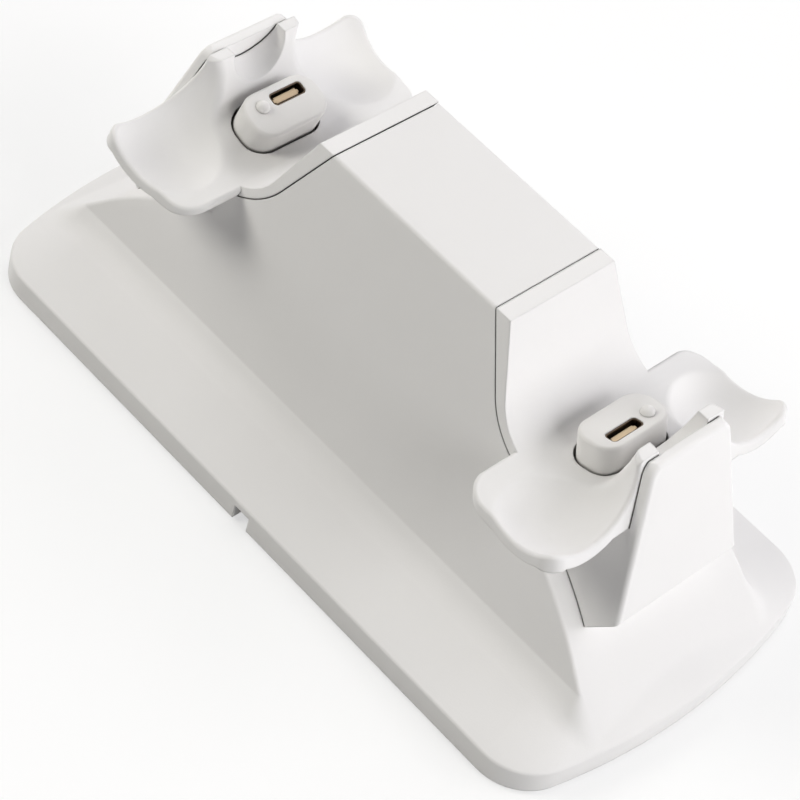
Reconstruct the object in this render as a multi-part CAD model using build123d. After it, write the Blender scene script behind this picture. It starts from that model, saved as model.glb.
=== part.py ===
from build123d import *
import os
from math import cos, radians, sin, tan

# Controller charging dock: a hipped base with a central tower and a cradle at each end.
# X runs along the base, -Y is the long side with the cable notch, and Z is up from the floor.
# The left end is the right end turned half a turn about Z.

# Base, seen from above and along its length
BASE_LENGTH = 199.0
BASE_WIDTH = 100.0
END_BULGE = 7.6
BASE_CORNER_R = 14.0
RIM_HEIGHT = 6.4
RIM_EDGE_R = 0.9
STRIP_ANGLE = 17.0
END_ANGLE = 32.0
HIP_TOP_R = 6.6
WALL = 2.2

# Tower and its foot: the walls lean in from the crease, the coves slope out below it.
# An inset is measured in from the end of the base.
CREASE_INSET = 12.55
CREASE_Y = 28.25
CREASE_HEIGHT = 16.2
COVE_ANGLE = 54.0
COVE_TOP_R = 1.2
COVE_FOOT_R = 8.0
TOWER_HEIGHT = 79.6
TOWER_TOP_HALF = 16.3
TOWER_EDGE_R = 1.0
TOWER_END_INSET = 48.0

# Ramps at both ends of the tower
RAMP_ANGLE = 46.5
RAMP_TOP_ANGLE = 24.0
RAMP_BREAK_INSET = 30.5
RAMP_R = 90.0
RAMP_FOOT_R = 9.0

# Cradle frame: u runs outward along the tilted seat, v along Y, w square to the seat
SEAT_INSET = 41.5
SEAT_HEIGHT = 54.7
SEAT_TILT = 15.0
SEAT_T = 4.0
BACK_U = -15.2
BACK_LEAN = 8.5
BACK_R = 15.0
SEAM_U = -16.1
SEAM_LEAN = 12.5
SEAM_R = 21.5
BACK_HOLLOW = 1.8
BACK_HOLLOW_R = 72.0
FIT_GAP = 0.3

# Wings, with a round dish for a trigger in each
WING_INNER_U = -12.2
WING_END_U = 16.7
WING_END_HALF = 39.4
WING_FLARE = 2.8
WING_INNER_R = 6.0
WING_END_R = 4.0
DISH_R = 16.8
DISH_U = 6.2
DISH_INSET = 11.8
DISH_LAND = 3.46
DISH_W = 11.2
DISH_T = 3.0
DISH_EDGE_R = 3.0
WING_EDGE_R = 0.8
RIM_TIP_W = 3.0

# Fork at the outer end of the seat
FORK_FOOT_U = 6.9
FORK_FOOT_R = 5.0
FORK_TOP_U = 13.9
FORK_HEIGHT = 13.8
FORK_DROP = 0.8
FORK_TOP_HALF = 12.6
FORK_FOOT_HALF = 22.0
FORK_CORNER_R = 3.5
SCOOP_R = 7.8
SCOOP_W = 12.6

# Connector block, standing on the post's deck and up through the seat
BLOCK_LENGTH = 22.0
BLOCK_WIDTH = 12.3
BLOCK_HEIGHT = 7.25
BLOCK_CORNER_R = 5.2
BLOCK_EDGE_R = 0.9
BLOCK_GAP = 0.6
SLOT_LENGTH = 9.2
SLOT_WIDTH = 2.8
SLOT_U = 2.35
SLOT_V = -2.3
NUB_R = 1.7
NUB_U = 1.8
NUB_V = 5.8
SLOT_CORNER_R = 0.8
SLEEVE_T = 0.35
SLEEVE_SINK = 0.2
TONGUE_LENGTH = 7.6
TONGUE_WIDTH = 1.7
TONGUE_SINK = 1.2
TONGUE_NOTCH = 0.45
BOARD_LENGTH = 24.0
BOARD_WIDTH = 14.0
BOARD_U = 2.6
BOARD_T = 1.2
BOARD_CORNER_R = 1.5

# Post under the seat and behind the fork
POST_FACE_U = 19.7
POST_INNER_U = -7.0
POST_TOP_W = 12.2
POST_FOOT_W = -27.8
POST_FOOT_ANGLE = 31.5
POST_INSET = 5.4
POST_CORNER_R = 4.0
POST_EDGE_R = 1.2

# Underside
FOOT_PROUD = 1.0
FOOT_R = 6.0
FOOT_RECESS = 0.8
FOOT_EDGE_R = 0.4
FOOT_INSET_X = 17.5
FOOT_INSET_Y = 14.0
COVER_T = 2.4
COVER_GAP = 0.2
BOSS_R = 3.5
COVER_SCREW_INSET_X = 41.5
COVER_SCREW_INSET_Y = 12.0
NOTCH_X = 0.5
NOTCH_WIDTH = 4.8
NOTCH_HEIGHT = 4.4
BAY_WIDTH = 13.0
BAY_LENGTH = 14.0

# Main board and its power socket
MAIN_LENGTH = 60.0
MAIN_FRONT_Y = -24.0
MAIN_BACK_Y = 18.0
MAIN_T = 1.6
MAIN_STANDOFF = 3.8
STANDOFF_R = 2.6
STANDOFF_INSET = 4.0
SOCKET_WIDTH = 9.0
SOCKET_HEIGHT = 3.2
SOCKET_DEPTH = 7.4
SOCKET_WALL = 0.35
SOCKET_PROUD = 1.0
SOCKET_BACK = 1.0
SOCKET_BAR_WIDTH = 6.6
SOCKET_BAR_T = 0.7

# Screws and the leads
SCREW_R = 1.25
SCREW_HEAD_R = 2.4
SCREW_HEAD_T = 1.4
SCREW_FREE = 0.25
PILOT_GAP = 0.05
COVER_SCREW_LENGTH = 5.0
MAIN_SCREW_LENGTH = 5.0
CRADLE_SCREW_U = 12.6
CRADLE_SCREW_V = 10.4
CRADLE_SCREW_LENGTH = 8.0
BLOCK_SCREW_U = -2.4
BLOCK_SCREW_V = 7.0
BLOCK_SCREW_LENGTH = 8.0
POST_SCREW_INSET = 28.5
POST_SCREW_Y = 14.4
POST_SCREW_LENGTH = 8.0
POST_BOSS_HEIGHT = 9.0
LEAD_R = 1.2
LEAD_BEND_R = 8.0
LEAD_HOLE_R = 2.5
LEAD_START_X = 26.0
LEAD_RISE = 10.0
LEAD_DROP = 22.0

# Places worked out from the sizes above
RIM_BOTTOM = FOOT_PROUD
RIM_TOP = RIM_BOTTOM + RIM_HEIGHT
BASE_END = BASE_LENGTH / 2
CREASE_X = BASE_END - CREASE_INSET
TOWER_END_X = BASE_END - TOWER_END_INSET
RAMP_BREAK_X = BASE_END - RAMP_BREAK_INSET
SEAT_X = BASE_END - SEAT_INSET
POST_SCREW_X = BASE_END - POST_SCREW_INSET
TOWER_TOP = RIM_BOTTOM + TOWER_HEIGHT
CREASE_Z = RIM_BOTTOM + CREASE_HEIGHT
COVER_TOP = RIM_BOTTOM + COVER_T
MAIN_Z = COVER_TOP + MAIN_STANDOFF
WING_INNER_HALF = WING_END_HALF - WING_FLARE
DISH_MOUTH_R = (DISH_R**2 - DISH_W**2) ** 0.5
CLEAR_DISH_V = BLOCK_LENGTH / 2 + BLOCK_GAP + DISH_LAND + DISH_MOUTH_R
DISH_V = max(WING_END_HALF - DISH_INSET, CLEAR_DISH_V)
DECK_W = -SEAT_T
DECK_UNDER_W = DECK_W - WALL
FAR = 2 * BASE_LENGTH
NEAR_ZERO = 0.001

SEAT_ORIGIN = (SEAT_X, 0, RIM_BOTTOM + SEAT_HEIGHT)
SEAT_DIR = (cos(radians(SEAT_TILT)), 0, sin(radians(SEAT_TILT)))
SEAT_UP = (-sin(radians(SEAT_TILT)), 0, cos(radians(SEAT_TILT)))
SEAT = Plane(SEAT_ORIGIN, x_dir=SEAT_DIR, z_dir=SEAT_UP)
SEAT_SIDE = Plane(SEAT_ORIGIN, x_dir=SEAT_DIR, z_dir=(0, -1, 0))
SEAT_AXIS = Axis(SEAT_ORIGIN, SEAT_UP)
OUTWARD_AXIS = Axis(SEAT_ORIGIN, SEAT_DIR)
HALF_TURN = Rot(0, 0, 180)


def rounded(*corners):
    """A flat face from its corners, each (x, y) or (x, y, corner radius)."""
    points = [corner[:2] for corner in corners]
    radii = [corner[2] if len(corner) == 3 else 0 for corner in corners]
    return make_face(FilletPolyline(*points, radius=radii, close=True))


def seat_prism(face):
    """A (u, w) face of the right cradle's frame, carried across the whole width."""
    return extrude(SEAT_SIDE * face, BASE_WIDTH, both=True)


def at_seat(u, v, w):
    """A place in the right cradle's frame."""
    return SEAT * Pos(u, v, w)


def both_ends(shape):
    """A right-hand form together with its half turn."""
    return shape + HALF_TURN * shape


def upright(radius, bottom, top):
    """A cylinder along Z between two heights."""
    return Pos(0, 0, bottom) * Cylinder(radius, top - bottom, align=(Align.CENTER, Align.CENTER, Align.MIN))


def base_outline(inset):
    """The base from above: straight long sides, bowed ends and round corners, moved in by an inset."""
    bow_r = ((BASE_WIDTH / 2) ** 2 + END_BULGE**2) / (2 * END_BULGE)
    half = BASE_WIDTH / 2 - inset
    end_x = BASE_END - inset
    corner_x = BASE_END - bow_r + ((bow_r - inset) ** 2 - half**2) ** 0.5
    right = ThreePointArc((corner_x, -half), (end_x, 0), (corner_x, half))
    left = ThreePointArc((-corner_x, half), (-end_x, 0), (-corner_x, -half))
    far_side = Line((corner_x, half), (-corner_x, half))
    near_side = Line((-corner_x, -half), (corner_x, -half))
    face = make_face([right, far_side, left, near_side])
    return fillet(face.vertices(), BASE_CORNER_R - inset)


def wall_slope():
    """How far a tower wall leans in for each millimetre up."""
    return (CREASE_Y - TOWER_TOP_HALF) / (TOWER_TOP - CREASE_Z)


def tower_half(z):
    """Half the tower's width at a height."""
    return CREASE_Y - (z - CREASE_Z) * wall_slope()


def wall_section(low):
    """The tower seen along X, from a height up."""
    return rounded(
        (-tower_half(low), low),
        (tower_half(low), low),
        (TOWER_TOP_HALF, TOWER_TOP),
        (-TOWER_TOP_HALF, TOWER_TOP),
    )


def ramp_height(x):
    """Height of the lower straight part of the ramp, carried on past its break."""
    return CREASE_Z + (CREASE_X - x) * tan(radians(RAMP_ANGLE))


def side_section(low):
    """The tower and its ramps seen along Y, from a height up, with the cradles' places still filled."""
    break_z = ramp_height(RAMP_BREAK_X)
    ramp_top_z = break_z + (RAMP_BREAK_X - TOWER_END_X) * tan(radians(RAMP_TOP_ANGLE))
    half = [
        (CREASE_X + (CREASE_Z - low) / tan(radians(RAMP_ANGLE)), low),
        (RAMP_BREAK_X, break_z, RAMP_R),
        (TOWER_END_X, ramp_top_z),
        (TOWER_END_X, TOWER_TOP),
    ]
    mirrored = [(-corner[0], *corner[1:]) for corner in reversed(half)]
    return rounded(*half, *mirrored)


def along_x(face):
    """A (y, z) face carried along the whole length."""
    return extrude(Plane.YZ * face, BASE_LENGTH, both=True)


def along_y(face):
    """An (x, z) face carried across the whole width."""
    return extrude(Plane.XZ * face, BASE_WIDTH, both=True)


def grown(face, amount):
    """A face moved out on every side, with sharp corners kept, or in for a negative amount."""
    return offset(face, amount, kind=Kind.INTERSECTION) if amount else face


def cradle_space(gap):
    """The room at the right end that the cradle fills, as a prism standing off its back by a gap."""
    lean = tan(radians(SEAM_LEAN))
    back_u = SEAM_U - gap / cos(radians(SEAM_LEAN)) + gap * lean
    bottom = DECK_W - gap
    face = rounded(
        (back_u - FAR * lean, bottom + FAR),
        (back_u, bottom, SEAM_R + gap),
        (FAR, bottom),
        (FAR, bottom + FAR),
    )
    return seat_prism(face)


def apron(inset):
    """The base: an upright rim, then sloping strips and ends that meet in round hips and end in the tower."""
    strip = radians(STRIP_ANGLE)
    rise = CREASE_Z - RIM_TOP
    rim_top = RIM_TOP - inset * (1 - sin(strip)) / cos(strip)
    bottom = RIM_BOTTOM if inset == 0 else -FOOT_PROUD
    outline = base_outline(inset)
    top_length = BASE_LENGTH - 2 * inset - 2 * rise / tan(radians(END_ANGLE))
    top_width = BASE_WIDTH - 2 * inset - 2 * rise / tan(strip)
    top = RectangleRounded(top_length, top_width, HIP_TOP_R)
    slopes = loft([Pos(0, 0, rim_top) * outline, Pos(0, 0, rim_top + rise) * top], ruled=True)
    return slopes + extrude(Pos(0, 0, bottom) * outline, rim_top - bottom)


def tower_foot(inset):
    """The tower's foot: its sides are the coves and its ends carry the ramps on down."""
    side = radians(COVE_ANGLE)
    end = radians(RAMP_ANGLE)
    length = 2 * (CREASE_X - inset / sin(end))
    width = 2 * (CREASE_Y - inset / sin(side))
    drop = CREASE_Z - RIM_TOP
    foot = RectangleRounded(length + 2 * drop / tan(end), width + 2 * drop / tan(side), COVE_FOOT_R)
    top = RectangleRounded(length, width, COVE_TOP_R)
    return loft([Pos(0, 0, RIM_TOP) * foot, Pos(0, 0, CREASE_Z) * top], ruled=True)


def tower(inset):
    """The tower above its foot, with leaning walls and a ramp at each end."""
    low = CREASE_Z - 2 * inset
    return along_x(grown(wall_section(low), -inset)) & along_y(grown(side_section(low), -inset))


def soft_base():
    """Base and tower foot, with a soft edge along the rim and a hollow curve at the foot of each ramp."""
    base = apron(0) + tower_foot(0)
    across = [edge for edge in base.edges() if abs(edge.center().Y) < NEAR_ZERO]
    feet = [edge for edge in across if RIM_TOP < edge.center().Z < CREASE_Z]
    base = fillet(feet, RAMP_FOOT_R)
    rim = base.edges().filter_by_position(Axis.Z, RIM_TOP - NEAR_ZERO, RIM_TOP + NEAR_ZERO)
    return fillet(rim, RIM_EDGE_R)


def soft_tower():
    """The tower with the long edges of its ramps and its top taken off."""
    form = tower(0)
    edges = form.edges().filter_by_position(Axis.Z, CREASE_Z + TOWER_EDGE_R, TOWER_TOP)
    edges = [edge for edge in edges if abs(edge.center().Y) > NEAR_ZERO]
    return fillet(edges, TOWER_EDGE_R)


def hollow():
    """The room inside the housing's walls."""
    form = apron(WALL) + tower_foot(WALL) + tower(WALL)
    return form - both_ends(cradle_space(FIT_GAP + WALL))


def housing():
    """Base and tower in one moulding, open below, with screw bosses and the cable notch."""
    form = soft_base() + soft_tower() - both_ends(cradle_space(FIT_GAP))
    shell = form - hollow()
    for x, y in cover_screw_places():
        boss = Pos(x, y, 0) * upright(BOSS_R, COVER_TOP, CREASE_Z)
        shell += boss & form
        shell -= Pos(x, y, 0) * upright(SCREW_R + PILOT_GAP, COVER_TOP, cover_screw_tip() + SCREW_FREE)
    notch = Pos(NOTCH_X, -BASE_WIDTH / 2, RIM_BOTTOM) * Box(NOTCH_WIDTH, 4 * WALL, 2 * NOTCH_HEIGHT)
    shell -= notch
    shell -= both_ends(lead_hole())
    for x, y in [(POST_SCREW_X, POST_SCREW_Y), (POST_SCREW_X, -POST_SCREW_Y)]:
        hole = ramp_frame(x, y) * Cylinder(SCREW_R + SCREW_FREE, 6 * WALL)
        shell -= both_ends(hole)
    return shell


def cover_screw_tip():
    """Height of the cover screws' ends."""
    return RIM_BOTTOM + SCREW_HEAD_T + COVER_SCREW_LENGTH


def cover_screw_places():
    """Where the four cover screws stand."""
    half_x = BASE_END - COVER_SCREW_INSET_X
    half_y = BASE_WIDTH / 2 - COVER_SCREW_INSET_Y
    return [(x, y) for x in (-half_x, half_x) for y in (-half_y, half_y)]


def foot_places():
    """Where the four feet stand, named by side and end."""
    half_x = BASE_END - FOOT_INSET_X
    half_y = BASE_WIDTH / 2 - FOOT_INSET_Y
    sides = {"front": -half_y, "rear": half_y}
    ends = {"left": -half_x, "right": half_x}
    return {f"{side}_{end}": (x, y) for side, y in sides.items() for end, x in ends.items()}


def ramp_frame(x, y):
    """A frame on the right ramp's surface, with Z along its outward normal."""
    start = Vector(RAMP_BREAK_X, 0, ramp_height(RAMP_BREAK_X))
    bend = radians((RAMP_ANGLE - RAMP_TOP_ANGLE) / 2)
    tangent = RAMP_R * tan(bend)
    low = radians(RAMP_ANGLE)
    arc_end = start + Vector(cos(low), 0, -sin(low)) * tangent
    centre = arc_end - Vector(sin(low), 0, cos(low)) * RAMP_R
    across = x - centre.X
    up = (RAMP_R**2 - across**2) ** 0.5
    normal = Vector(across, 0, up).normalized()
    return Plane(Vector(x, y, centre.Z + up), x_dir=(0, 1, 0), z_dir=normal)


def lead_hole():
    """The hole in the right ramp that the lead passes up through."""
    return seat_pin(0, 0, LEAD_HOLE_R, board_under() - LEAD_DROP, board_under())


def wing_outline(gap):
    """Both wings and the seat from above the seat, grown by a gap."""
    face = rounded(
        (WING_INNER_U, -WING_INNER_HALF, WING_INNER_R),
        (WING_END_U, -WING_END_HALF, WING_END_R),
        (WING_END_U, WING_END_HALF, WING_END_R),
        (WING_INNER_U, WING_INNER_HALF, WING_INNER_R),
    )
    return SEAT * Pos(0, 0, -BASE_WIDTH / 2) * extrude(grown(face, gap), BASE_WIDTH)


def dish(side, radius):
    """The ball that hollows a wing, or the larger one that makes its underside."""
    return at_seat(DISH_U, side * DISH_V, DISH_W) * Sphere(radius)


def bowl(side, gap=0):
    """The rounded underside of one wing, as a solid up to its rim."""
    room = at_seat(DISH_U + FAR / 2, side * (DISH_V + FAR / 2), RIM_TIP_W - FAR / 2) * Box(FAR, FAR, FAR)
    room += at_seat(0, 0, -FAR / 2) * Box(FAR, FAR, FAR)
    return dish(side, DISH_R + DISH_T + gap) & room


def cradle_slab():
    """The bent sheet of backrest, curve and seat, across the whole width."""
    lean = tan(radians(BACK_LEAN))
    face = rounded(
        (BACK_U - FAR * lean, FAR),
        (BACK_U, 0, BACK_R),
        (WING_END_U, 0),
        (WING_END_U, -FAR),
        (-FAR, -FAR),
        (-FAR, FAR),
    )
    return seat_prism(face) & cradle_space(0)


def fork():
    """The raised outer end of the seat, before its flanks and scoop are cut."""
    side = rounded(
        (0, DECK_W),
        (0, 0),
        (FORK_FOOT_U, 0, FORK_FOOT_R),
        (FORK_TOP_U, FORK_HEIGHT),
        (WING_END_U, FORK_HEIGHT - FORK_DROP),
        (WING_END_U, DECK_W),
    )
    front = rounded(
        (-FORK_FOOT_HALF, DECK_W),
        (-FORK_FOOT_HALF, 0),
        (-FORK_TOP_HALF, FORK_HEIGHT, FORK_CORNER_R),
        (FORK_TOP_HALF, FORK_HEIGHT, FORK_CORNER_R),
        (FORK_FOOT_HALF, 0),
        (FORK_FOOT_HALF, DECK_W),
    )
    front_plane = Plane(SEAT_ORIGIN, x_dir=(0, 1, 0), z_dir=SEAT_DIR)
    return seat_prism(side) & extrude(front_plane * front, FAR)


def back_hollow():
    """The shallow round hollow in the backrest, deepest at the top and fading out at the curve."""
    fade_w = BACK_R
    top_w = TOWER_HEIGHT - SEAT_HEIGHT
    lean = BACK_LEAN + Vector(top_w - fade_w, BACK_HOLLOW, 0).get_angle(Vector(1, 0, 0))
    fade_u = BACK_U - fade_w * tan(radians(BACK_LEAN))
    tool = at_seat(fade_u, 0, fade_w) * Rot(0, -lean, 0) * Pos(BACK_HOLLOW_R, 0, 0)
    tool *= Cylinder(BACK_HOLLOW_R, FAR)
    return tool & at_seat(0, 0, fade_w + FAR / 2) * Box(-2 * BACK_U, FAR, FAR)


def block_outline(gap):
    """The connector block from above, a bar with large round corners, grown by a gap."""
    return RectangleRounded(BLOCK_WIDTH + 2 * gap, BLOCK_LENGTH + 2 * gap, BLOCK_CORNER_R + gap)


def scoop():
    """The round notch between the fork's prongs."""
    return at_seat(0, 0, SCOOP_W) * Rot(0, 90, 0) * upright(SCOOP_R, 0, FAR)


def dish_edges(body, wanted):
    """The edges of both dishes whose middle, in the cradle's frame, is a wanted one."""
    found = []
    for edge in body.edges():
        spots = [SEAT.to_local_coords(edge @ part) for part in (0, 0.3, 0.7, 1)]
        reach = [Vector(at.X - DISH_U, abs(at.Y) - DISH_V, at.Z - DISH_W).length for at in spots]
        middle = SEAT.to_local_coords(edge.center())
        on_ball = all(abs(length - DISH_R) < NEAR_ZERO for length in reach)
        if on_ball and wanted(middle):
            found.append(edge)
    return found


def seat_pin(u, v, radius, low, high):
    """A cylinder square to the seat, between two heights over it."""
    return at_seat(u, v, 0) * upright(radius, low, high)


def cradle():
    """Right cradle: collar and backrest, seat, dished wings and fork in one moulding."""
    slab = cradle_slab()
    wings = (slab + bowl(-1) + bowl(1)) & wing_outline(0)
    body = (slab & along_x(wall_section(CREASE_Z))) + wings + fork()
    body -= dish(-1, DISH_R) + dish(1, DISH_R)
    body -= back_hollow()
    body -= scoop()
    seat_side = dish_edges(body, lambda middle: middle.X < DISH_U and middle.Z > -NEAR_ZERO)
    body = fillet(seat_side, DISH_EDGE_R)
    outer_side = dish_edges(body, lambda middle: middle.X > WING_END_U - NEAR_ZERO)
    body = fillet(outer_side, WING_EDGE_R)
    body -= SEAT * Pos(0, 0, DECK_W - SEAT_T) * extrude(block_outline(BLOCK_GAP), FAR)
    for u, v in cradle_screw_places():
        body -= seat_pin(u, v, SCREW_R + PILOT_GAP, DECK_W, DECK_UNDER_W + CRADLE_SCREW_LENGTH + SCREW_FREE)
    return body


def cradle_screw_places():
    """Where the cradle's two screws stand, under the fork's prongs."""
    return [(CRADLE_SCREW_U, -CRADLE_SCREW_V), (CRADLE_SCREW_U, CRADLE_SCREW_V)]


def block_screw_places():
    """Where the two screws stand that clamp the block, deck and connector board together."""
    return [(BLOCK_SCREW_U, -BLOCK_SCREW_V), (BLOCK_SCREW_U, BLOCK_SCREW_V)]


def board_under():
    """Height of the connector board's underside over the seat."""
    return DECK_UNDER_W - BOARD_T


def post_sides(inset):
    """The room between the post's leaning side walls, which run along the tower's."""
    tilt = radians(SEAT_TILT)
    top = RIM_BOTTOM + SEAT_HEIGHT + POST_FACE_U * sin(tilt) + POST_TOP_W * cos(tilt)
    foot = tower_half(0) - POST_INSET - inset
    head = tower_half(top) - POST_INSET - inset
    return along_x(rounded((-foot, 0), (foot, 0), (head, top, POST_CORNER_R), (-head, top, POST_CORNER_R)))


def post_body(inset):
    """The post below the deck as a prism, carried down into the ramp, or its hollow."""
    drop = (POST_FACE_U - POST_INNER_U) * tan(radians(POST_FOOT_ANGLE))
    face = rounded(
        (POST_INNER_U, DECK_W),
        (POST_FACE_U, DECK_W),
        (POST_FACE_U, POST_FOOT_W),
        (POST_INNER_U, POST_FOOT_W - drop),
    )
    return seat_prism(grown(face, -inset))


def post_head():
    """The post's outer wall where it stands up behind the fork."""
    face = rounded(
        (WING_END_U + FIT_GAP, DECK_W),
        (WING_END_U + FIT_GAP, POST_TOP_W),
        (POST_FACE_U, POST_TOP_W),
        (POST_FACE_U, DECK_W),
    )
    return seat_prism(face)


def post():
    """Right post: a hollow wedge with the deck on top, the wall behind the fork and two screw bosses."""
    outer = (post_body(0) + post_head()) & post_sides(0)
    face_edges = outer.faces().sort_by(OUTWARD_AXIS)[-1].edges()
    outer = fillet(face_edges, POST_EDGE_R)
    body = outer - (post_body(WALL) & post_sides(WALL))
    for y in (-POST_SCREW_Y, POST_SCREW_Y):
        frame = ramp_frame(POST_SCREW_X, y)
        body += (frame * upright(BOSS_R, 0, POST_BOSS_HEIGHT)) & outer
        body -= frame * upright(SCREW_R + PILOT_GAP, 0, POST_SCREW_LENGTH - WALL + SCREW_FREE)
    body -= along_y(grown(side_section(RIM_BOTTOM), FIT_GAP))
    body -= (bowl(-1, FIT_GAP) + bowl(1, FIT_GAP)) & wing_outline(FIT_GAP)
    for u, v in cradle_screw_places() + block_screw_places():
        body -= seat_pin(u, v, SCREW_R + SCREW_FREE, DECK_UNDER_W, DECK_W)
    return body - slot(DECK_UNDER_W, DECK_W)


def slot(low, high, gap=0):
    """The connector's slot between two heights over the seat, grown by a gap."""
    face = RectangleRounded(SLOT_WIDTH + 2 * gap, SLOT_LENGTH + 2 * gap, SLOT_CORNER_R + gap)
    return at_seat(SLOT_U, SLOT_V, low) * extrude(face, high - low)


def connector_block():
    """Right connector block: a round-ended bar with a soft top edge, a slot and a guide nub."""
    bar = SEAT * Pos(0, 0, DECK_W) * extrude(block_outline(0), BLOCK_HEIGHT - DECK_W)
    bar = fillet(bar.faces().sort_by(SEAT_AXIS)[-1].edges(), BLOCK_EDGE_R)
    bar += at_seat(NUB_U, NUB_V, BLOCK_HEIGHT) * Sphere(NUB_R)
    bar -= slot(DECK_W, BLOCK_HEIGHT, SLEEVE_T)
    for u, v in block_screw_places():
        bar -= seat_pin(u, v, SCREW_R + PILOT_GAP, DECK_W, board_under() + BLOCK_SCREW_LENGTH + SCREW_FREE)
    return bar


def slot_sleeve():
    """Right slot sleeve: the thin metal lining of the connector's slot."""
    top = BLOCK_HEIGHT - SLEEVE_SINK
    return slot(DECK_W, top, SLEEVE_T) - slot(DECK_W, top)


def contact_tongue():
    """Right contact tongue: a flat bar with notched corners, up from the board into the slot."""
    face = Rectangle(TONGUE_WIDTH, TONGUE_LENGTH)
    for u in (-TONGUE_WIDTH / 2, TONGUE_WIDTH / 2):
        for v in (-TONGUE_LENGTH / 2, TONGUE_LENGTH / 2):
            face -= Pos(u, v) * Rectangle(2 * TONGUE_NOTCH, 2 * TONGUE_NOTCH)
    return at_seat(SLOT_U, SLOT_V, DECK_UNDER_W) * extrude(face, BLOCK_HEIGHT - TONGUE_SINK - DECK_UNDER_W)


def connector_board():
    """Right connector board, flat under the deck."""
    face = RectangleRounded(BOARD_WIDTH, BOARD_LENGTH, BOARD_CORNER_R)
    board = at_seat(BOARD_U, 0, board_under()) * extrude(face, BOARD_T)
    for u, v in block_screw_places():
        board -= seat_pin(u, v, SCREW_R + SCREW_FREE, board_under(), DECK_UNDER_W)
    return board


def lead():
    """Right lead, from the main board up through the ramp to the connector board."""
    start = Vector(LEAD_START_X, 0, MAIN_Z + MAIN_T)
    route = [
        start,
        start + Vector(0, 0, LEAD_RISE),
        Vector(*at_seat(0, 0, board_under() - LEAD_DROP).position),
        Vector(*at_seat(0, 0, board_under()).position),
    ]
    path = FilletPolyline(*route, radius=LEAD_BEND_R)
    return sweep(Plane(start) * Circle(LEAD_R), path=path)


def main_board_places():
    """Where the main board's screws and standoffs are."""
    half = MAIN_LENGTH / 2 - STANDOFF_INSET
    rows = (MAIN_FRONT_Y + STANDOFF_INSET, MAIN_BACK_Y - STANDOFF_INSET)
    return [(x, y) for x in (-half, half) for y in rows]


def main_board():
    """Main board on its standoffs."""
    width = MAIN_BACK_Y - MAIN_FRONT_Y
    middle = (MAIN_BACK_Y + MAIN_FRONT_Y) / 2
    board = Pos(0, middle, MAIN_Z) * extrude(RectangleRounded(MAIN_LENGTH, width, BOARD_CORNER_R), MAIN_T)
    for x, y in main_board_places():
        board -= Pos(x, y, 0) * upright(SCREW_R + SCREW_FREE, MAIN_Z, MAIN_Z + MAIN_T)
    return board


def power_socket():
    """Power socket under the main board's front edge: a flat sleeve round a contact bar."""
    mouth_place = (NOTCH_X, MAIN_FRONT_Y - SOCKET_PROUD, MAIN_Z - SOCKET_HEIGHT / 2)
    front = Plane(mouth_place, x_dir=(1, 0, 0), z_dir=(0, 1, 0))
    sleeve = extrude(front * SlotOverall(SOCKET_WIDTH, SOCKET_HEIGHT), SOCKET_DEPTH)
    mouth = SlotOverall(SOCKET_WIDTH - 2 * SOCKET_WALL, SOCKET_HEIGHT - 2 * SOCKET_WALL)
    bar = Rectangle(SOCKET_BAR_WIDTH, SOCKET_BAR_T)
    return sleeve - extrude(front * (mouth - bar), SOCKET_DEPTH - SOCKET_BACK)


def bottom_cover():
    """Bottom cover: a plate inside the rim, with standoffs, foot recesses and the plug bay."""
    plate = Pos(0, 0, RIM_BOTTOM) * extrude(base_outline(WALL + COVER_GAP), COVER_T)
    for x, y in main_board_places():
        plate += Pos(x, y, 0) * upright(STANDOFF_R, COVER_TOP, MAIN_Z)
        tip = MAIN_Z + MAIN_T - MAIN_SCREW_LENGTH - SCREW_FREE
        plate -= Pos(x, y, 0) * upright(SCREW_R + PILOT_GAP, tip, MAIN_Z)
    for x, y in cover_screw_places():
        plate -= Pos(x, y, 0) * upright(SCREW_R + SCREW_FREE, RIM_BOTTOM, COVER_TOP)
        plate -= Pos(x, y, 0) * upright(SCREW_HEAD_R + SCREW_FREE, RIM_BOTTOM, RIM_BOTTOM + SCREW_HEAD_T)
    for x, y in foot_places().values():
        plate -= Pos(x, y, 0) * upright(FOOT_R + COVER_GAP, RIM_BOTTOM, RIM_BOTTOM + FOOT_RECESS)
    bay_back = MAIN_FRONT_Y - SOCKET_PROUD
    channel = 2 * (BASE_WIDTH / 2 + bay_back)
    plate -= Pos(NOTCH_X, bay_back - BAY_LENGTH / 2, RIM_BOTTOM) * Box(BAY_WIDTH, BAY_LENGTH, 3 * COVER_T)
    plate -= Pos(NOTCH_X, -BASE_WIDTH / 2, RIM_BOTTOM) * Box(NOTCH_WIDTH, channel, 3 * COVER_T)
    return plate


def foot(x, y):
    """One rubber foot in its recess."""
    pad = upright(FOOT_R, 0, FOOT_PROUD + FOOT_RECESS)
    return Pos(x, y, 0) * fillet(pad.edges().group_by(Axis.Z)[0], FOOT_EDGE_R)


def screw(length):
    """A pan-head screw along Z, with its head under the seat at zero."""
    return upright(SCREW_HEAD_R, -SCREW_HEAD_T, 0) + upright(SCREW_R, 0, length)


def cover_screws():
    """The four screws of the bottom cover."""
    return [Pos(x, y, RIM_BOTTOM + SCREW_HEAD_T) * screw(COVER_SCREW_LENGTH) for x, y in cover_screw_places()]


def main_board_screws():
    """The four screws of the main board, driven down into its standoffs."""
    top = MAIN_Z + MAIN_T
    return [Pos(x, y, top) * Rot(180, 0, 0) * screw(MAIN_SCREW_LENGTH) for x, y in main_board_places()]


def end_screws(places, seat_w, length):
    """Screws square to both seats, with their heads below a height."""
    right = [at_seat(u, v, seat_w) * screw(length) for u, v in places]
    return right + [HALF_TURN * one for one in right]


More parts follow.
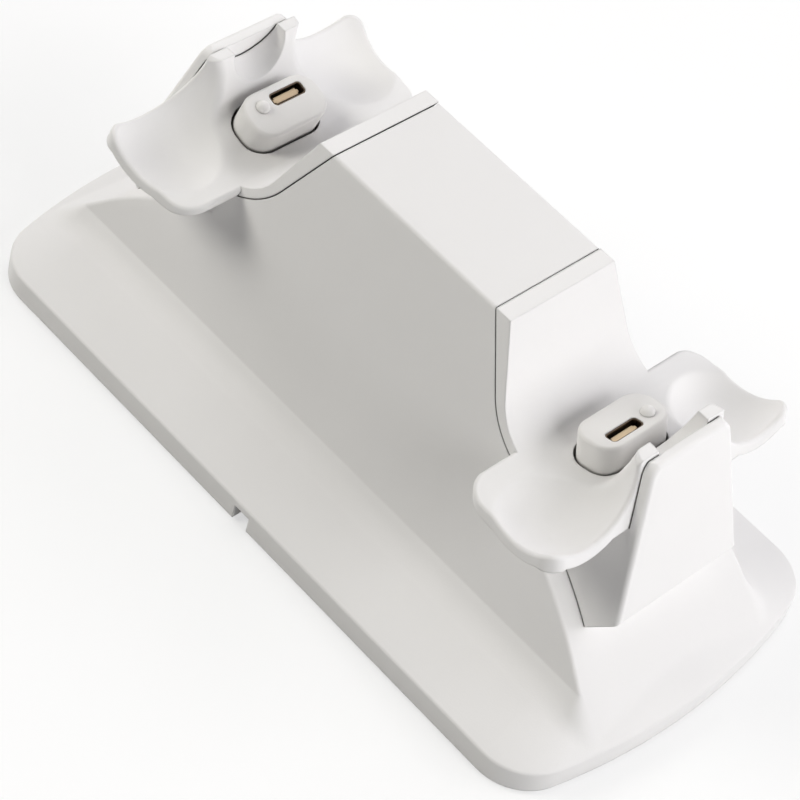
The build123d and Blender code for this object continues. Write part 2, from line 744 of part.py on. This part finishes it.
def post_screws():
    """The four screws that hold the posts to the ramps from inside."""
    right = [ramp_frame(POST_SCREW_X, y) * Pos(0, 0, -WALL - PILOT_GAP) * screw(POST_SCREW_LENGTH)
             for y in (-POST_SCREW_Y, POST_SCREW_Y)]
    return right + [HALF_TURN * one for one in right]


def all_parts():
    """Every sub-part by its node's name."""
    parts = {
        "housing": housing(),
        "bottom_cover": bottom_cover(),
        "main_board": main_board(),
        "power_socket": power_socket(),
        "cover_screws": Compound(cover_screws()),
        "main_board_screws": Compound(main_board_screws()),
        "cradle_screws": Compound(end_screws(cradle_screw_places(), DECK_UNDER_W, CRADLE_SCREW_LENGTH)),
        "connector_screws": Compound(end_screws(block_screw_places(), board_under(), BLOCK_SCREW_LENGTH)),
        "post_screws": Compound(post_screws()),
    }
    ends = {
        "cradle": cradle(),
        "post": post(),
        "connector_block": connector_block(),
        "slot_sleeve": slot_sleeve(),
        "contact_tongue": contact_tongue(),
        "connector_board": connector_board(),
        "lead": lead(),
    }
    for name, right in ends.items():
        parts[f"right_{name}"] = right
        parts[f"left_{name}"] = HALF_TURN * right
    for name, place in foot_places().items():
        parts[f"{name}_foot"] = foot(*place)
    return parts


os.makedirs("parts", exist_ok=True)
for node, shape in all_parts().items():
    export_step(shape, f"parts/{node}.step")
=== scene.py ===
"""Looks of a two-controller charging dock, laid out as a Blender add-on."""

import math

import bpy
import numpy as np
from bpy.props import FloatProperty, FloatVectorProperty, PointerProperty
from mathutils import Matrix, Vector

bl_info = {
    "name": "Controller charging dock",
    "version": (1, 0, 0),
    "blender": (4, 5, 0),
    "location": "3D View > Sidebar > Dock",
    "description": "Gives the charging dock its finishes and sets it in a plain studio",
    "category": "Object",
}

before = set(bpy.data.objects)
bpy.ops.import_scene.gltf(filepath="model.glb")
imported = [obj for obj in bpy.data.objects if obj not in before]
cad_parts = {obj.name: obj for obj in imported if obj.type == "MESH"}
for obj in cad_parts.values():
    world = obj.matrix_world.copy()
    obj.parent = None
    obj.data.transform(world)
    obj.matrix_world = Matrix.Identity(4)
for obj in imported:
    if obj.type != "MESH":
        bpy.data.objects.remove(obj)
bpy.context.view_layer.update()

# Shading of the CAD meshes
SMOOTH_ANGLE = math.radians(14)
WELD_DISTANCE = 1e-6

# Surface of each plastic and rubber: its roughness, and the height of its grain in metres
SHELL_SATIN = (0.56, 4e-5)
CRADLE_SATIN = (0.5, 3e-5)
POST_SHEEN = (0.44, 1.5e-5)
BLOCK_SATIN = (0.4, 2e-5)
CONTACT_DULL = (0.5, 2e-5)
BOARD_LACQUER = (0.3, 1e-5)
RUBBER_DULL = (0.7, 5e-5)
SHEEN_CHANGE = 0.04
TONE_CHANGE = 0.012
PLASTIC_IOR = 1.48
PLASTIC_SPECULAR = 0.25
GRAIN_STRENGTH = 0.35
CONTACT_EDGE_SHARE = 0.3

# Plated steel
STEEL_ROUGHNESS = (0.24, 0.4)
STEEL_TONE_CHANGE = 0.06

# Patterns: a coarse one is this many grains wide, and patches have more detail than grain
COARSE_GRAINS = 4
FINE_DETAIL = 2.0
PATCH_DETAIL = 3.0
RAY_SAMPLES = 4

# Floor: just under the feet, lit near the dock and plain white further out
FLOOR_HALF = 3.0
FLOOR_DROP = 0.00005
FLOOR_LEVEL = 0.95
FLOOR_ROUGHNESS = 0.9
FADE_START = 0.12
FADE_END = 0.45

# Lamps: name, width, turn from +X towards +Y, height angle and tint
PLAIN_TINT = (1.0, 0.995, 0.985)
WARM_TINT = (1.0, 0.985, 0.915)
COOL_TINT = (0.985, 0.975, 1.0)
LAMPS = (
    ("front", 0.6, 225, 36, WARM_TINT),
    ("right", 0.9, 0, 30, PLAIN_TINT),
    ("corner", 0.9, 45, 28, COOL_TINT),
    ("back", 0.9, 115, 35, COOL_TINT),
    ("left", 0.9, 180, 28, COOL_TINT),
)
LAMP_AIM = Vector((0, 0, 0.03))
LAMP_DISTANCE = 1.4

# Camera
SENSOR_WIDTH = 36
CLIP_START = 0.01
CLIP_END = 20


def colour_property(name, description, default):
    """A linear colour that a user may change."""
    return FloatVectorProperty(
        name=name, description=description, default=default, subtype="COLOR", size=3, min=0.0, max=1.0
    )


def power_property(name, description, default):
    """A lamp's power that a user may change."""
    return FloatProperty(name=name, description=description, default=default, unit="POWER", min=0.0)


class DockFinishes(bpy.types.PropertyGroup):
    """Colours and surface grain of the dock's materials, and the painted shade in their seams."""

    shell_colour: colour_property("Shell", "Moulded plastic of base, tower and cover", (0.787, 0.778, 0.775))
    cradle_colour: colour_property("Cradle", "Moulded plastic of both cradles", (0.812, 0.803, 0.8))
    post_colour: colour_property("Post", "Smoother plastic of both posts", (0.835, 0.826, 0.823))
    block_colour: colour_property("Connector", "Moulded plastic of both plug bodies", (0.83, 0.818, 0.806))
    sleeve_colour: colour_property("Sleeve", "Dark plating of the slot sleeves", (0.1, 0.075, 0.055))
    contact_colour: colour_property("Contact", "Tan plastic of the contact tongues", (0.88, 0.69, 0.47))
    board_colour: colour_property("Board", "Lacquer of the circuit boards", (0.02, 0.11, 0.045))
    steel_colour: colour_property("Steel", "Plated steel of screws and socket", (0.55, 0.55, 0.56))
    rubber_colour: colour_property("Rubber", "Rubber of feet and leads", (0.03, 0.03, 0.032))
    # Painted shade: the colour that narrow seams and tight inner corners are darkened to
    painted_shade_colour: colour_property("Seam", "Dusty shade down in the narrow seams", (0.1, 0.09, 0.08))
    # Widest gap that the painted shade still darkens
    painted_shade_reach: FloatProperty(
        name="Seam reach", description="Widest seam that goes dark", default=0.001, unit="LENGTH", min=0.0
    )
    grain: FloatProperty(
        name="Grain", description="Size of the moulding grain", default=0.0004, unit="LENGTH", min=0.0001
    )
    edge_round: FloatProperty(
        name="Edge round", description="Radius of the broken edges", default=0.0006, unit="LENGTH", min=0.0
    )
    tone_patch: FloatProperty(
        name="Tone patch", description="Size of faint tone changes", default=0.03, unit="LENGTH", min=0.001
    )


class DockStage(bpy.types.PropertyGroup):
    """Camera, lamps and floor."""

    azimuth: FloatProperty(
        name="Azimuth", description="Turn of the camera about the dock",
        default=math.radians(33.8), subtype="ANGLE",
    )
    elevation: FloatProperty(
        name="Elevation", description="Camera's height angle", default=math.radians(48.058), subtype="ANGLE"
    )
    roll: FloatProperty(
        name="Roll", description="Turn of the camera about its own line of sight",
        default=math.radians(17.709), subtype="ANGLE",
    )
    distance: FloatProperty(
        name="Distance", description="From the camera to its target", default=0.661255, unit="LENGTH"
    )
    target: FloatVectorProperty(
        name="Target", description="The point that the camera looks at",
        default=(0.001399, -0.00342, 0.01611), subtype="XYZ", unit="LENGTH",
    )
    lens: FloatProperty(name="Lens", description="Focal length", default=126.47, unit="CAMERA")
    front_power: power_property("Front", "Lamp in front, on the left", 9.5)
    right_power: power_property("Right", "Large lamp on the right", 12.2)
    corner_power: power_property("Corner", "Large lamp behind, on the right", 8.8)
    back_power: power_property("Back", "Large lamp behind", 4.8)
    left_power: power_property("Left", "Large lamp on the left", 6.3)
    sky: FloatProperty(name="Sky", description="Strength of the even light all round", default=0.05, min=0.0)
    floor_colour: colour_property("Floor", "Plain pale floor", (0.5, 0.5, 0.5))
    floor_glow: FloatProperty(
        name="Floor glow", description="Share of the floor's white that its shadows leave",
        default=0.6, min=0.0, max=1.0,
    )


def node_tree(name):
    """A new material and its emptied node tree, with its shader and output joined."""
    material = bpy.data.materials.new(name)
    material.use_nodes = True
    tree = material.node_tree
    tree.nodes.clear()
    output = tree.nodes.new("ShaderNodeOutputMaterial")
    shader = tree.nodes.new("ShaderNodeBsdfPrincipled")
    tree.links.new(shader.outputs["BSDF"], output.inputs["Surface"])
    return material, tree, shader


def noise(tree, size, detail=FINE_DETAIL):
    """A noise texture on Object coordinates whose lumps are about the given size."""
    place = tree.nodes.new("ShaderNodeTexCoord")
    texture = tree.nodes.new("ShaderNodeTexNoise")
    texture.inputs["Scale"].default_value = 1.0 / size
    texture.inputs["Detail"].default_value = detail
    tree.links.new(place.outputs["Object"], texture.inputs["Vector"])
    return texture.outputs["Fac"]


def spread(tree, value, low, high):
    """The middle half of a 0-to-1 value carried to a range, with what lies outside it at the ends."""
    ranged = tree.nodes.new("ShaderNodeMapRange")
    ranged.inputs["From Min"].default_value = 0.25
    ranged.inputs["From Max"].default_value = 0.75
    ranged.inputs["To Min"].default_value = low
    ranged.inputs["To Max"].default_value = high
    tree.links.new(value, ranged.inputs["Value"])
    return ranged.outputs["Result"]


def blended(tree, factor, first, second):
    """A colour between two, each a linear colour or another node's output."""
    mix = tree.nodes.new("ShaderNodeMix")
    mix.data_type = "RGBA"
    sockets = {socket.identifier: socket for socket in mix.inputs}
    for socket, colour in ((sockets["A_Color"], first), (sockets["B_Color"], second)):
        if isinstance(colour, bpy.types.NodeSocket):
            tree.links.new(colour, socket)
        else:
            socket.default_value = (*colour, 1)
    tree.links.new(factor, sockets["Factor_Float"])
    return {socket.identifier: socket for socket in mix.outputs}["Result_Color"]


def toned(tree, colour, patch, change):
    """A colour that is a little lighter and darker in broad patches."""
    low = [c * (1 - change) for c in colour]
    high = [min(1.0, c * (1 + change)) for c in colour]
    return blended(tree, spread(tree, noise(tree, patch, PATCH_DETAIL), 0.0, 1.0), low, high)


def painted_seam_shade(tree, colour, finishes):
    """A colour with painted shade: it goes dark in narrow seams and tight inner corners, wherever other
    surfaces lie close by.
    """
    # Ambient-occlusion probe that picks out where the shade is painted
    painted_shade_probe = tree.nodes.new("ShaderNodeAmbientOcclusion")
    painted_shade_probe.samples = RAY_SAMPLES
    painted_shade_probe.inputs["Distance"].default_value = finishes.painted_shade_reach
    return blended(tree, spread(tree, painted_shade_probe.outputs["AO"], 0.0, 1.0), finishes.painted_shade_colour, colour)


def grained(tree, shader, size, height, edge_round):
    """Fine moulding grain as a bump, over edges that are a little rounded."""
    bevel = tree.nodes.new("ShaderNodeBevel")
    bevel.samples = RAY_SAMPLES
    bevel.inputs["Radius"].default_value = edge_round
    bump = tree.nodes.new("ShaderNodeBump")
    bump.inputs["Strength"].default_value = GRAIN_STRENGTH
    bump.inputs["Distance"].default_value = height
    tree.links.new(noise(tree, size), bump.inputs["Height"])
    tree.links.new(bevel.outputs["Normal"], bump.inputs["Normal"])
    tree.links.new(bump.outputs["Normal"], shader.inputs["Normal"])


def plastic(name, colour, finishes, surface, edge_share=1.0):
    """Moulded plastic: faint tone patches, painted shade in seams and inner corners, grain, a changing sheen
    and rounded edges.
    """
    roughness, grain_height = surface
    material, tree, shader = node_tree(name)
    # The base colour gets painted shade in seams and inner corners
    tone = painted_seam_shade(tree, toned(tree, colour, finishes.tone_patch, TONE_CHANGE), finishes)
    tree.links.new(tone, shader.inputs["Base Color"])
    coarse = noise(tree, COARSE_GRAINS * finishes.grain, PATCH_DETAIL)
    sheen = spread(tree, coarse, roughness - SHEEN_CHANGE, roughness + SHEEN_CHANGE)
    tree.links.new(sheen, shader.inputs["Roughness"])
    shader.inputs["IOR"].default_value = PLASTIC_IOR
    shader.inputs["Specular IOR Level"].default_value = PLASTIC_SPECULAR
    grained(tree, shader, finishes.grain, grain_height, edge_share * finishes.edge_round)
    return material


def plated_steel(name, colour, finishes):
    """Plated steel with a finely mottled tone and sheen."""
    material, tree, shader = node_tree(name)
    tone = toned(tree, colour, COARSE_GRAINS * finishes.grain, STEEL_TONE_CHANGE)
    tree.links.new(tone, shader.inputs["Base Color"])
    shader.inputs["Metallic"].default_value = 1.0
    tree.links.new(spread(tree, noise(tree, finishes.grain), *STEEL_ROUGHNESS), shader.inputs["Roughness"])
    return material


def background_rays(tree):
    """One for a ray from the eye or from gloss, which sees the plain backdrop, and zero otherwise."""
    path = tree.nodes.new("ShaderNodeLightPath")
    seen = path.outputs["Is Camera Ray"]
    for name in ("Is Glossy Ray", "Is Transmission Ray"):
        either = tree.nodes.new("ShaderNodeMath")
        either.operation = "MAXIMUM"
        tree.links.new(seen, either.inputs[0])
        tree.links.new(path.outputs[name], either.inputs[1])
        seen = either.outputs["Value"]
    return seen


def paper(stage):
    """White paper for the floor: it glows to the eye round a faint shadow, and further out is plain white."""
    material, tree, shader = node_tree("floor_paper")
    seen = background_rays(tree)
    lit_share = [(1 - stage.floor_glow) * FLOOR_LEVEL] * 3
    tree.links.new(blended(tree, seen, stage.floor_colour, lit_share), shader.inputs["Base Color"])
    shader.inputs["Roughness"].default_value = FLOOR_ROUGHNESS
    shader.inputs["Specular IOR Level"].default_value = 0.0
    shader.inputs["Emission Color"].default_value = (1, 1, 1, 1)
    tree.links.new(spread(tree, seen, 0.0, stage.floor_glow), shader.inputs["Emission Strength"])

    place = tree.nodes.new("ShaderNodeTexCoord")
    away = tree.nodes.new("ShaderNodeVectorMath")
    away.operation = "LENGTH"
    tree.links.new(place.outputs["Object"], away.inputs[0])
    fade = tree.nodes.new("ShaderNodeMapRange")
    fade.interpolation_type = "SMOOTHSTEP"
    fade.inputs["From Min"].default_value = FADE_START
    fade.inputs["From Max"].default_value = FADE_END
    tree.links.new(away.outputs["Value"], fade.inputs["Value"])
    plain_share = tree.nodes.new("ShaderNodeMath")
    plain_share.operation = "MULTIPLY"
    tree.links.new(seen, plain_share.inputs[0])
    tree.links.new(fade.outputs["Result"], plain_share.inputs[1])
    white = tree.nodes.new("ShaderNodeEmission")
    mix = tree.nodes.new("ShaderNodeMixShader")
    tree.links.new(plain_share.outputs["Value"], mix.inputs["Fac"])
    tree.links.new(shader.outputs["BSDF"], mix.inputs[1])
    tree.links.new(white.outputs["Emission"], mix.inputs[2])
    tree.links.new(mix.outputs["Shader"], tree.nodes["Material Output"].inputs["Surface"])
    return material


def studio_world(stage):
    """An even light all round, with a white backdrop."""
    world = bpy.data.worlds.new("studio")
    world.use_nodes = True
    tree = world.node_tree
    background = tree.nodes["Background"]
    background.inputs["Color"].default_value = (1, 1, 1, 1)
    tree.links.new(spread(tree, background_rays(tree), stage.sky, 1.0), background.inputs["Strength"])
    return world


def dress(nodes, material):
    """Gives CAD nodes a material, and smooth shading between their sharp edges."""
    for name in nodes:
        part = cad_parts[name]
        part.data.materials.clear()
        part.data.materials.append(material)
        part.data.polygons.foreach_set("use_smooth", np.ones(len(part.data.polygons), bool))
        weld = part.modifiers.new("weld", "WELD")
        weld.merge_threshold = WELD_DISTANCE
        split = part.modifiers.new("sharp edges", "EDGE_SPLIT")
        split.split_angle = SMOOTH_ANGLE


def ends(*names):
    """The right and left node of each name."""
    return [f"{side}_{name}" for name in names for side in ("right", "left")]


class DOCK_OT_shell(bpy.types.Operator):
    """Dress the base, tower and bottom cover"""

    bl_idname = "dock.shell"
    bl_label = "Shell"

    def execute(self, context):
        finishes = context.scene.dock_finishes
        shell = plastic("shell_plastic", finishes.shell_colour, finishes, SHELL_SATIN)
        dress(["housing", "bottom_cover"], shell)
        return {"FINISHED"}


class DOCK_OT_cradles(bpy.types.Operator):
    """Dress both cradles"""

    bl_idname = "dock.cradles"
    bl_label = "Cradles"

    def execute(self, context):
        finishes = context.scene.dock_finishes
        dress(ends("cradle"), plastic("cradle_plastic", finishes.cradle_colour, finishes, CRADLE_SATIN))
        return {"FINISHED"}


class DOCK_OT_posts(bpy.types.Operator):
    """Dress both posts"""

    bl_idname = "dock.posts"
    bl_label = "Posts"

    def execute(self, context):
        finishes = context.scene.dock_finishes
        dress(ends("post"), plastic("post_plastic", finishes.post_colour, finishes, POST_SHEEN))
        return {"FINISHED"}


class DOCK_OT_connectors(bpy.types.Operator):
    """Dress the connector blocks, their slot sleeves and contact tongues"""

    bl_idname = "dock.connectors"
    bl_label = "Connectors"

    def execute(self, context):
        finishes = context.scene.dock_finishes
        dress(ends("connector_block"), plastic("block_plastic", finishes.block_colour, finishes, BLOCK_SATIN))
        dress(ends("slot_sleeve"), plated_steel("dark_plating", finishes.sleeve_colour, finishes))
        contact = plastic(
            "contact_plastic", finishes.contact_colour, finishes, CONTACT_DULL, CONTACT_EDGE_SHARE
        )
        dress(ends("contact_tongue"), contact)
        return {"FINISHED"}


class DOCK_OT_inner(bpy.types.Operator):
    """Dress the boards, leads, screws, socket and feet"""

    bl_idname = "dock.inner"
    bl_label = "Boards, screws and feet"

    def execute(self, context):
        finishes = context.scene.dock_finishes
        boards = ends("connector_board") + ["main_board"]
        dress(boards, plastic("board_lacquer", finishes.board_colour, finishes, BOARD_LACQUER))
        steel = [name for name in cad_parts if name.endswith("_screws")] + ["power_socket"]
        dress(steel, plated_steel("plated_steel", finishes.steel_colour, finishes))
        feet = [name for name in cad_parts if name.endswith("_foot")]
        dress(feet + ends("lead"), plastic("rubber", finishes.rubber_colour, finishes, RUBBER_DULL))
        return {"FINISHED"}


def look_from(stage):
    """The camera's place: back along the view line from the target, then turned about that line."""
    a, e, r = stage.azimuth, stage.elevation, stage.roll
    back = Vector((math.sin(a) * math.cos(e), -math.cos(a) * math.cos(e), math.sin(e)))
    level = Vector((0, 0, 1)).cross(back).normalized()
    up = back.cross(level)
    right = math.cos(r) * level + math.sin(r) * up
    top = math.cos(r) * up - math.sin(r) * level
    place = Matrix((right, top, back)).transposed().to_4x4()
    place.translation = Vector(stage.target) + stage.distance * back
    return place


def soft_lamp(name, power, size, azimuth, elevation, tint):
    """A square area lamp that faces the dock, turned from +X towards +Y and then raised."""
    a, e = math.radians(azimuth), math.radians(elevation)
    towards = Vector((math.cos(a) * math.cos(e), math.sin(a) * math.cos(e), math.sin(e)))
    data = bpy.data.lights.new(name, "AREA")
    data.energy = power
    data.size = size
    data.color = tint
    lamp = bpy.data.objects.new(name, data)
    lamp.location = LAMP_AIM + LAMP_DISTANCE * towards
    lamp.rotation_euler = towards.to_track_quat("Z", "Y").to_euler()
    bpy.context.scene.collection.objects.link(lamp)


def paper_floor(stage):
    """A square floor round the dock."""
    mesh = bpy.data.meshes.new("floor")
    ring = ((-1, -1), (1, -1), (1, 1), (-1, 1))
    corners = [(x * FLOOR_HALF, y * FLOOR_HALF, -FLOOR_DROP) for x, y in ring]
    mesh.from_pydata(corners, [], [(0, 1, 2, 3)])
    floor = bpy.data.objects.new("floor", mesh)
    bpy.context.scene.collection.objects.link(floor)
    mesh.materials.append(paper(stage))


def view_camera(stage):
    """The camera at the viewing angle, in use by the scene."""
    data = bpy.data.cameras.new("camera")
    data.lens = stage.lens
    data.sensor_width = SENSOR_WIDTH
    data.clip_start = CLIP_START
    data.clip_end = CLIP_END
    camera = bpy.data.objects.new("camera", data)
    bpy.context.scene.collection.objects.link(camera)
    camera.matrix_world = look_from(stage)
    bpy.context.scene.camera = camera


class DOCK_OT_stage(bpy.types.Operator):
    """Add the floor, the lamps, the even light all round and the camera"""

    bl_idname = "dock.stage"
    bl_label = "Stage"

    def execute(self, context):
        scene = context.scene
        stage = scene.dock_stage
        paper_floor(stage)
        for name, size, azimuth, elevation, tint in LAMPS:
            soft_lamp(name, getattr(stage, f"{name}_power"), size, azimuth, elevation, tint)
        scene.world = studio_world(stage)
        scene.view_settings.view_transform = "Standard"
        view_camera(stage)
        return {"FINISHED"}


class DOCK_PT_panel(bpy.types.Panel):
    """Lists the dock's pieces and its stage"""

    bl_idname = "DOCK_PT_panel"
    bl_label = "Charging dock"
    bl_space_type = "VIEW_3D"
    bl_region_type = "UI"
    bl_category = "Dock"

    def draw(self, context):
        for operator in OPERATORS:
            self.layout.operator(operator.bl_idname)


OPERATORS = (
    DOCK_OT_shell,
    DOCK_OT_cradles,
    DOCK_OT_posts,
    DOCK_OT_connectors,
    DOCK_OT_inner,
    DOCK_OT_stage,
)
CLASSES = (DockFinishes, DockStage, *OPERATORS, DOCK_PT_panel)


def register():
    """Adds the classes and the scene's settings."""
    for cls in CLASSES:
        bpy.utils.register_class(cls)
    bpy.types.Scene.dock_finishes = PointerProperty(type=DockFinishes)
    bpy.types.Scene.dock_stage = PointerProperty(type=DockStage)


def unregister():
    """Takes the classes and settings away again."""
    del bpy.types.Scene.dock_stage
    del bpy.types.Scene.dock_finishes
    for cls in reversed(CLASSES):
        bpy.utils.unregister_class(cls)


def main():
    """Builds the scene, one operator after another."""
    register()
    bpy.ops.dock.shell()
    bpy.ops.dock.cradles()
    bpy.ops.dock.posts()
    bpy.ops.dock.connectors()
    bpy.ops.dock.inner()
    bpy.ops.dock.stage()


if __name__ == "__main__":
    main()
